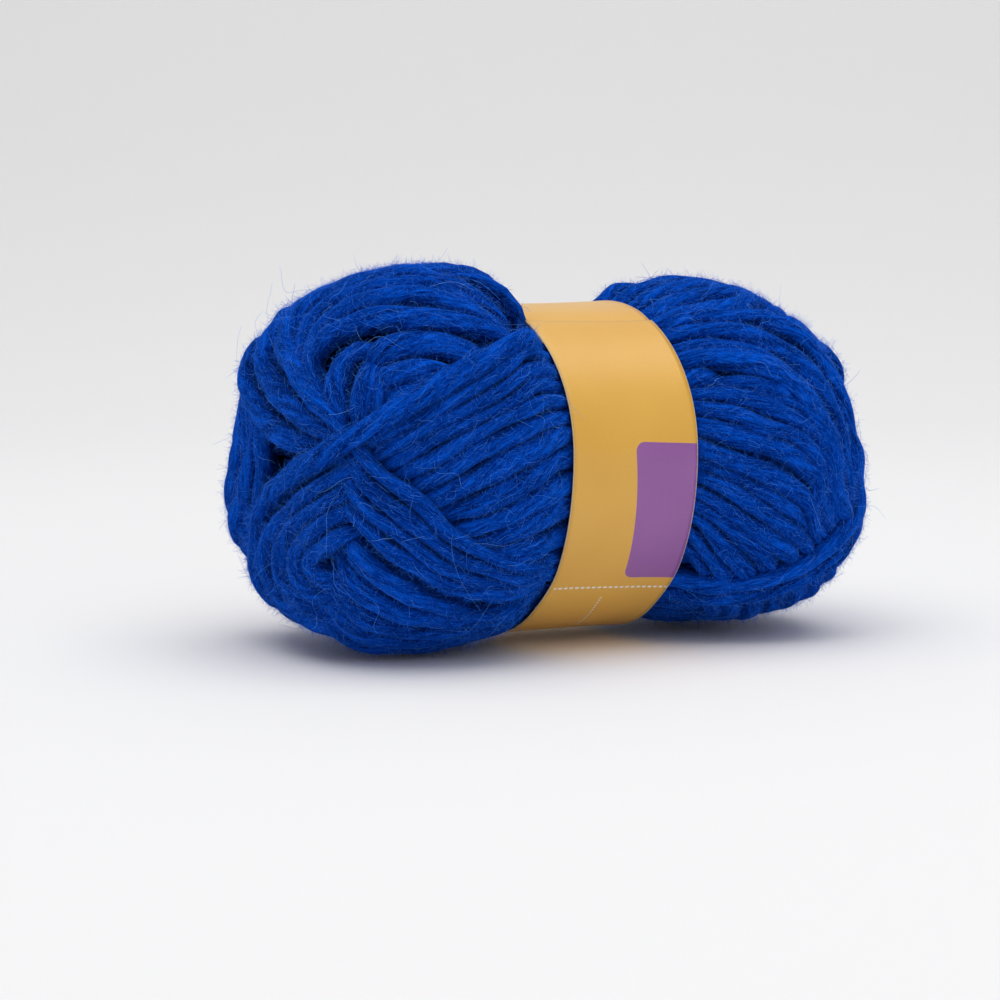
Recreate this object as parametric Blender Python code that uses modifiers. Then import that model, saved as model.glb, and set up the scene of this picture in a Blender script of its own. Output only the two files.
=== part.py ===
"""A pull skein of bulky wool roving, held round its middle by a paper ball band.

The skein lies on its side with its long axis along X.  It has two full lobes with a
waist between them, a small hollow at the middle of each end, and a flat spot under each
lobe where it rests on Z = 0.  The paper band is a loop round the waist.  Sizes are
measured from the waist, and the finished parts are then moved over the origin.
"""
import math

import bpy
import numpy as np

# Driving sizes in millimetres
MM = 0.001
END_LEFT = 66.0             # waist to the left end
END_RIGHT = 65.0            # waist to the right end
LOBE_DEPTH_LEFT = 42.1      # half of the left lobe, front to back
LOBE_DEPTH_RIGHT = 40.4
LOBE_RISE_LEFT = 42.1       # half of the left lobe, upwards from its axis
LOBE_RISE_RIGHT = 41.6
LOBE_DROP_LEFT = 40.6       # half of the left lobe, downwards from its axis
LOBE_DROP_RIGHT = 37.2
AXIS_LEFT = 41.3            # height of a lobe's axis, carried on to the waist
AXIS_RIGHT = 38.5
AXIS_FALL_LEFT = 0.062      # fall of that axis for each millimetre outwards
AXIS_FALL_RIGHT = 0.073
WAIST_DEPTH = 36.5
WAIST_RISE = 29.1
WAIST_DROP = 39.0
WAIST_AXIS = 42.0
WAIST_HALF = 16.0           # half of the waist's straight length
SHOULDER_LEFT = 13.7        # length over which the waist grows into the left lobe
SHOULDER_RIGHT = 23.5
ROUND_END_LEFT = 4.5        # exponent of the lengthwise outline, 2 is an ellipse
ROUND_END_RIGHT = 4.0
ROUND_SECTION = 2.36        # exponent of a lobe's cross-section
ROUND_WAIST = 2.05          # exponent of the waist's cross-section, nearly an ellipse
MIDDLE = 39.5               # height of the point that the surface is measured from

HOLLOW_DEPTH = 5.0          # hollow at the middle of each end
HOLLOW_SPREAD = 0.105       # angle at which the hollow has faded, in radians

TWISTS = 26                 # main twists round each lobe, each of two turns of roving
TWIST_HEIGHT = 2.2
TWIST_UNEVEN = 0.35         # how much the twists differ in height
LEAN_LEFT = 1.05            # how far the turns swing about X, in radians for each radian
LEAN_RIGHT = -0.6           # from the waist; above 0 they rise towards +X at the front
END_SWIRL = 1.3             # extra swing of the turns towards an end, in radians
END_ANGLE = 0.75            # angle from an end at which that turning starts
END_FADE = 0.26             # the twists die out within this angle of an end
BAND_FADE = 4.5             # and over this length beside the band
BELT_LIFT = 0.9             # the outermost belt of turns stands over the others

BAND_HALF = 14.6            # half of the band's width
BAND_CLEAR = 0.45           # gap between wool and paper
BAND_MARGIN = 1.2           # plain wool beside the band
BAND_THICK = 1.0

RINGS = 56
SEGMENTS = 104              # four to each twist
BAND_SEGMENTS = 84
END_CROWD = 0.15            # how much closer the rings of points lie at the ends


def mix(a, b, t):
    return a + (b - a) * t


def smooth(x, low, high):
    """0 below low and 1 above high, with a smooth rise between."""
    t = np.clip((x - low) / (high - low), 0.0, 1.0)
    return t * t * (3.0 - 2.0 * t)


def shoulder(x):
    """0 over the waist, rising to 1 at a lobe's full size: 1 - (1 - t) squared."""
    long = np.where(x < 0.0, SHOULDER_LEFT, SHOULDER_RIGHT)
    t = np.clip((np.abs(x) - WAIST_HALF) / long, 0.0, 1.0)
    return 1.0 - (1.0 - t) ** 2


def outside(points):
    """Above 0 outside the wound form: |x/a|^p + (section)^p - 1, a superellipsoid whose
    cross-section is a superellipse that narrows to the waist."""
    x, y, z = points[:, 0], points[:, 1], points[:, 2]
    left = x < 0.0
    grown = shoulder(x)
    length = np.where(left, END_LEFT, END_RIGHT)
    lobe_axis = np.where(left, AXIS_LEFT + AXIS_FALL_LEFT * x, AXIS_RIGHT - AXIS_FALL_RIGHT * x)
    height = z - mix(WAIST_AXIS, lobe_axis, grown)
    depth = mix(WAIST_DEPTH, np.where(left, LOBE_DEPTH_LEFT, LOBE_DEPTH_RIGHT), grown)
    rise = mix(WAIST_RISE, np.where(left, LOBE_RISE_LEFT, LOBE_RISE_RIGHT), grown)
    drop = mix(WAIST_DROP, np.where(left, LOBE_DROP_LEFT, LOBE_DROP_RIGHT), grown)
    tall = np.where(height > 0.0, rise, drop)
    power = mix(ROUND_WAIST, ROUND_SECTION, grown)
    section = (np.abs(y / depth) ** power + np.abs(height / tall) ** power) ** (1.0 / power)
    ends = np.where(left, ROUND_END_LEFT, ROUND_END_RIGHT)
    return np.abs(x / length) ** ends + section ** ends - 1.0


def form_radius(directions):
    """Distance from the middle to the wound form along each direction, by halving."""
    low = np.full(len(directions), 10.0)
    high = np.full(len(directions), 120.0)
    middle = np.array((0.0, 0.0, MIDDLE))
    for _ in range(30):
        half = (low + high) / 2.0
        out = outside(middle + directions * half[:, None]) > 0.0
        high = np.where(out, half, high)
        low = np.where(out, low, half)
    return (low + high) / 2.0


def lean(polar, around):
    """Angle about X of the turns at a polar angle: they swing evenly from the waist along
    a lobe, and further round its end hollow."""
    from_waist = polar - math.pi / 2.0
    rate = np.where(from_waist > 0.0, LEAN_LEFT, LEAN_RIGHT)
    to_end = np.minimum(polar, math.pi - polar)
    swirl = END_SWIRL * (1.0 - smooth(to_end, 0.0, END_ANGLE))
    return around + rate * from_waist + swirl * np.sign(rate * from_waist)


def twist_height(polar, around):
    """Relief of the main twists, |cos| ridges counted round the lobe, uneven in height,
    with a broad belt of turns that stands over the rest."""
    ridge = np.abs(np.cos(TWISTS / 2.0 * around))
    uneven = 0.5 + 0.5 * np.sin(5.0 * around + 2.0 * np.cos(polar)) * np.cos(2.0 * around + 1.0)
    belt = smooth(np.sin(around + np.where(np.cos(polar) < 0.0, 0.9, 3.6)), 0.25, 0.6)
    return TWIST_HEIGHT * ridge * (1.0 - TWIST_UNEVEN * uneven) + BELT_LIFT * belt


def relief(form, polar):
    """How far the twists' relief is let in: 0 under the band and at the end hollows."""
    beyond = smooth(np.abs(form[:, 0]), BAND_HALF + BAND_MARGIN, BAND_HALF + BAND_MARGIN + BAND_FADE)
    to_end = np.minimum(polar, math.pi - polar)
    return beyond * smooth(to_end, 0.3 * END_FADE, END_FADE)


def wool_surface(polar, around):
    """Points of the wool's surface for angles from +X and about X: the form, let in by
    the twists' height and carried out by their relief, drawn in at the end hollows and
    pressed flat at Z = 0."""
    swung = lean(polar, around)
    directions = np.stack((np.cos(polar), np.sin(polar) * np.cos(swung),
                           np.sin(polar) * np.sin(swung)), axis=1)
    middle = np.array((0.0, 0.0, MIDDLE))
    radius = form_radius(directions)
    form = middle + directions * radius[:, None]
    let_in = twist_height(polar, around) - TWIST_HEIGHT
    radius = radius + relief(form, polar) * let_in
    to_end = np.minimum(polar, math.pi - polar)
    radius = radius - HOLLOW_DEPTH * np.exp(-(to_end / HOLLOW_SPREAD) ** 2)
    points = middle + directions * radius[:, None]
    points[:, 2] = np.maximum(points[:, 2], 0.0)
    return points


def waist_radius(angle):
    """Radius of the waist's cross-section at an angle about X: half a superellipse above
    its axis and a taller half below."""
    tall = np.where(np.sin(angle) > 0.0, WAIST_RISE, WAIST_DROP)
    across = np.abs(np.cos(angle) / WAIST_DEPTH) ** ROUND_WAIST
    along = np.abs(np.sin(angle) / tall) ** ROUND_WAIST
    return (across + along) ** (-1.0 / ROUND_WAIST)


def material(name, colour, roughness):
    made = bpy.data.materials.new(name)
    made.use_nodes = True
    shader = made.node_tree.nodes["Principled BSDF"]
    shader.inputs["Base Color"].default_value = (*colour, 1.0)
    shader.inputs["Roughness"].default_value = roughness
    shader.inputs["Metallic"].default_value = 0.0
    return made


def read_points(mesh):
    flat = np.empty(len(mesh.vertices) * 3, dtype=np.float32)
    mesh.vertices.foreach_get("co", flat)
    return flat.reshape(-1, 3).astype(float)


def write_points(mesh, points):
    mesh.vertices.foreach_set("co", points.astype(np.float32).ravel())
    mesh.update()


def add_part(name, collection, finish):
    """Names the active object and moves it into the object's collection."""
    part = bpy.context.object
    part.name = name
    part.data.name = name
    for owner in list(part.users_collection):
        owner.objects.unlink(part)
    collection.objects.link(part)
    part.data.materials.append(finish)
    return part


def make_wool(collection):
    """The wound wool: a sphere with its poles on X, each point carried out to the
    wool's surface, with the rings of points closer together towards the ends."""
    bpy.ops.mesh.primitive_uv_sphere_add(segments=SEGMENTS, ring_count=RINGS, radius=1.0)
    wool = add_part("wool", collection, material("wool_roving", (0.006, 0.050, 0.330), 0.95))
    sphere = read_points(wool.data)
    polar = np.arccos(np.clip(sphere[:, 2], -1.0, 1.0))
    around = np.arctan2(sphere[:, 1], sphere[:, 0])
    polar = polar - END_CROWD * np.sin(2.0 * polar)
    write_points(wool.data, wool_surface(polar, around) * MM)
    wool.data.shade_smooth()
    return wool


def make_band(collection):
    """The paper band: an open tube with its axis on X, fitted round the waist, then
    given its thickness outwards."""
    bpy.ops.mesh.primitive_cylinder_add(vertices=BAND_SEGMENTS, radius=1.0, depth=2.0,
                                        end_fill_type="NOTHING")
    band = add_part("paper_band", collection, material("coated_paper", (0.70, 0.40, 0.09), 0.35))
    tube = read_points(band.data)
    angle = np.arctan2(tube[:, 1], tube[:, 0])
    radius = waist_radius(angle) + BAND_CLEAR
    points = np.stack((tube[:, 2] * BAND_HALF, radius * np.cos(angle),
                       WAIST_AXIS + radius * np.sin(angle)), axis=1)
    write_points(band.data, points * MM)
    band.data.shade_smooth()
    wall = band.modifiers.new("paper", "SOLIDIFY")
    wall.thickness = BAND_THICK * MM
    wall.offset = 1.0
    return band


def clear_scene():
    for old in list(bpy.data.objects):
        bpy.data.objects.remove(old, do_unlink=True)


def stand_on_origin(parts):
    """Moves the points of all parts together, so that the origin is under the middle of
    the box that holds them."""
    points = [read_points(part.data) for part in parts]
    everything = np.concatenate(points)
    middle = (everything.min(axis=0) + everything.max(axis=0)) / 2.0
    for part, own in zip(parts, points):
        write_points(part.data, own - (middle[0], middle[1], 0.0))


clear_scene()
skein = bpy.data.collections.new("wool_roving_skein")
bpy.context.scene.collection.children.link(skein)
stand_on_origin([make_wool(skein), make_band(skein)])
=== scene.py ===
"""Looks of a banded skein of wool roving: soft thick turns wound over and under each
other, their loose fibres, and the coated paper band round the waist."""

import math

import bpy
import numpy as np
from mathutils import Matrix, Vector


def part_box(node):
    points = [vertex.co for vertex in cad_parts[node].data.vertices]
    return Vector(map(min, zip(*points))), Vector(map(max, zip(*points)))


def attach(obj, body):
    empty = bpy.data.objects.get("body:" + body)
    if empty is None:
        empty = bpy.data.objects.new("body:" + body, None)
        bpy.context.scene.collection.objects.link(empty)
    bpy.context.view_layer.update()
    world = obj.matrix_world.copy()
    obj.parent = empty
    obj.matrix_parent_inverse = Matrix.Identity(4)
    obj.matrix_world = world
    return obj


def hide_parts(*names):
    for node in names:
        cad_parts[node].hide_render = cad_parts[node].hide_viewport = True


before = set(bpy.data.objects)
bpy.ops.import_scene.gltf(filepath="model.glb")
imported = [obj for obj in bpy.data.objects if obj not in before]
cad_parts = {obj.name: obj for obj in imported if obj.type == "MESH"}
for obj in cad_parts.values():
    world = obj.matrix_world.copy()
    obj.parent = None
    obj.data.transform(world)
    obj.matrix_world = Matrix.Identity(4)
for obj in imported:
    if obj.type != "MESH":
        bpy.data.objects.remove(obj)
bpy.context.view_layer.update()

MM = 0.001
SEED = 20417

# ---- sizes, in millimetres
# The wound form, measured from the middle of the waist on the floor. It is the form of
# the part's wool solid, so that every turn lies on it. Pairs are for the left lobe and
# the right one.
LOBE_LONG, LOBE_DEPTH = (66.0, 65.0), (42.1, 40.4)
LOBE_RISE, LOBE_DROP = (42.1, 41.6), (40.6, 37.2)
LOBE_AXIS, LOBE_FALL = (41.3, 38.5), (0.062, 0.073)
WAIST_DEPTH, WAIST_RISE, WAIST_DROP, WAIST_AXIS = 36.5, 29.1, 39.0, 42.0
WAIST_HALF, SHOULDER = 16.0, (13.7, 23.5)
ROUND_END, ROUND_SECTION, ROUND_WAIST = (4.5, 4.0), 2.36, 2.05
MIDDLE = np.array((0.0, 0.0, 39.5))
HALVINGS = 26

TURN_WIDE = 2.55  # half the width of one turn of roving
TURN_HIGH = 2.45  # half its height
TURN_SIDES = 16
RING_STEP = 1.35  # between two rings of points along a turn
CORE_DEPTH = 5.2  # of the dark core under the turns
CORE_FLOOR = 0.5  # its lowest height
CORE_RINGS, CORE_SEGMENTS = 48, 96
HOLLOW_DEEP = 17.0  # of the hollow in the middle of each end
HOLLOW_WIDE, HOLLOW_SQUAT = 11.0, 0.7  # its width, and that against its height
HOLLOW_ASIDE, HOLLOW_HEIGHT = 1.5, 41.0  # where its middle lies
HOLLOW_FROM = 40.0  # nearest to the waist
FLOOR_GAP = 0.06  # kept under the lowest turns

BAND_HALF = 14.6  # half the paper band's width
BAND_OFF = 0.75  # from the waist's form to the paper's outer face
BAND_THICK = 0.28
BAND_ASIDE, BAND_ASIDE_LOW = -0.4, -0.9  # of its middle: all round, and more in front
BAND_LOW_FROM, BAND_LOW_TO = (3.8, 4.15), (4.5, 5.2)  # angles where that more begins and ends

band_low, band_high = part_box("paper_band")
# The waist's middle in the frame: the CAD box is centred on the whole skein instead.
WAIST = np.array(((band_low.x + band_high.x) / 2 / MM, (band_low.y + band_high.y) / 2 / MM, 0.0))


# ---- arithmetic
def mix(a, b, t):
    return a + (b - a) * t


def smooth(x, low, high):
    """0 below low and 1 above high, with a smooth rise between."""
    t = np.clip((x - low) / (high - low), 0.0, 1.0)
    return t * t * (3.0 - 2.0 * t)


def unit(v):
    return v / np.maximum(np.linalg.norm(v, axis=-1, keepdims=True), 1e-9)


def outside(points):
    """Above 0 outside the wound form: |x/a|^p + (section)^p - 1, a superellipsoid whose
    cross-section is a superellipse that narrows to the waist."""
    x, y, z = np.abs(points[:, 0]), points[:, 1], points[:, 2]
    lobe = lambda pair: np.where(points[:, 0] < 0.0, *pair)
    grown = 1.0 - (1.0 - np.clip((x - WAIST_HALF) / lobe(SHOULDER), 0.0, 1.0)) ** 2
    height = z - mix(WAIST_AXIS, lobe(LOBE_AXIS) - lobe(LOBE_FALL) * x, grown)
    depth = mix(WAIST_DEPTH, lobe(LOBE_DEPTH), grown)
    tall = np.where(height > 0.0, mix(WAIST_RISE, lobe(LOBE_RISE), grown),
                    mix(WAIST_DROP, lobe(LOBE_DROP), grown))
    power = mix(ROUND_WAIST, ROUND_SECTION, grown)
    section = (np.abs(y / depth) ** power + np.abs(height / tall) ** power) ** (1.0 / power)
    return (x / lobe(LOBE_LONG)) ** lobe(ROUND_END) + section ** lobe(ROUND_END) - 1.0


def form_radius(directions, hub=MIDDLE, near=10.0, far=120.0):
    """Distance from hub to the wound form along each direction, by halving near to far."""
    low, high = np.full(len(directions), near), np.full(len(directions), far)
    for _ in range(HALVINGS):
        half = (low + high) / 2.0
        out = outside(hub + directions * half[:, None]) > 0.0
        high, low = np.where(out, half, high), np.where(out, low, half)
    return (low + high) / 2.0


def form_normal(points):
    """Outward direction of the form, the slope of outside() by small differences."""
    slope = [outside(points + step) - outside(points - step) for step in np.eye(3) * 0.05]
    return unit(np.stack(slope, axis=1))


def on_form(points):
    """Each point carried along its line from the middle onto the form."""
    directions = unit(points - MIDDLE)
    return MIDDLE + directions * form_radius(directions)[:, None]


def wave(values, seed, size, low, high):
    """Smooth unevenness, mostly below size each way: a sum of five sines with random
    phases, whose wavelengths run from low to high in the units of values."""
    draw = np.random.default_rng(seed)
    total = np.zeros_like(values, dtype=float)
    for length in np.geomspace(low, high, 5):
        total += np.sin(values * (math.tau / length) + draw.uniform(0.0, math.tau))
    return size * (total / 5 ** 0.5 / 1.4)


def run_along(points):
    """Length along a line of points, at each point."""
    return np.append(0.0, np.cumsum(np.linalg.norm(np.diff(points, axis=0), axis=1)))


def spline(points, step):
    """A Catmull-Rom curve through the rows of points, read at even steps of its length
    in the first three columns."""
    points = np.asarray(points, float)
    before, after = 2.0 * points[0] - points[1], 2.0 * points[-1] - points[-2]
    p = np.vstack((before, points, after))
    t = np.linspace(0.0, len(points) - 1.0, 40 * (len(points) - 1) + 1)
    k = np.minimum(t.astype(int), len(points) - 2)
    u = (t - k)[:, None]
    a, b, c, d = p[k], p[k + 1], p[k + 2], p[k + 3]
    curve = 0.5 * (2.0 * b + (c - a) * u + (2.0 * a - 5.0 * b + 4.0 * c - d) * u ** 2
                   + (3.0 * b - a - 3.0 * c + d) * u ** 3)
    run = run_along(curve[:, :3])
    even = np.linspace(0.0, run[-1], max(6, int(round(run[-1] / step)) + 1))
    return np.stack([np.interp(even, run, curve[:, i]) for i in range(curve.shape[1])], axis=1)


# ---- meshes
def add_mesh(name, points, faces, finish, uv=None, tone=None):
    """A piece from arrays: points in millimetres from the waist's middle, faces as rows
    of corners, a UV point for every corner of every face, and a tone for every point."""
    mesh = bpy.data.meshes.new(name)
    counts = np.concatenate([np.full(len(f), f.shape[1]) for f in faces])
    corners = np.concatenate([f.ravel() for f in faces]).astype(np.int32)
    starts = np.concatenate(((0,), np.cumsum(counts)[:-1])).astype(np.int32)
    mesh.vertices.add(len(points))
    mesh.vertices.foreach_set("co", ((points + WAIST) * MM).astype(np.float32).ravel())
    mesh.loops.add(len(corners))
    mesh.loops.foreach_set("vertex_index", corners)
    mesh.polygons.add(len(counts))
    mesh.polygons.foreach_set("loop_start", starts)
    mesh.polygons.foreach_set("loop_total", counts.astype(np.int32))
    mesh.update(calc_edges=True)
    mesh.polygons.foreach_set("use_smooth", np.ones(len(counts), bool))
    if uv is not None:
        layer = mesh.uv_layers.new(name="surface_mm")
        flat = np.concatenate([u.reshape(-1, 2) for u in uv])
        layer.data.foreach_set("uv", flat.astype(np.float32).ravel())
    if tone is not None:
        layer = mesh.attributes.new("tone", "FLOAT", "POINT")
        layer.data.foreach_set("value", tone.astype(np.float32))
    mesh.validate()
    mesh.materials.append(finish)
    piece = bpy.data.objects.new(name, mesh)
    bpy.context.scene.collection.objects.link(piece)
    return piece


def tube_faces(rings, sides, first):
    """Corners of a closed tube of rings x sides points that starts at point first, with
    one more point at each end for its caps."""
    ring, side = np.meshgrid(np.arange(rings - 1), np.arange(sides), indexing="ij")
    a = first + ring * sides + side
    b = first + ring * sides + (side + 1) % sides
    quads = np.stack((a, b, b + sides, a + sides), axis=-1).reshape(-1, 4)
    side = np.arange(sides)
    tip, tail = first + rings * sides, first + rings * sides + 1
    head = np.stack((np.full(sides, tip), first + (side + 1) % sides, first + side), axis=1)
    last = first + (rings - 1) * sides
    foot = np.stack((np.full(sides, tail), last + side, last + (side + 1) % sides), axis=1)
    return quads, np.concatenate((head, foot))


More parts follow.
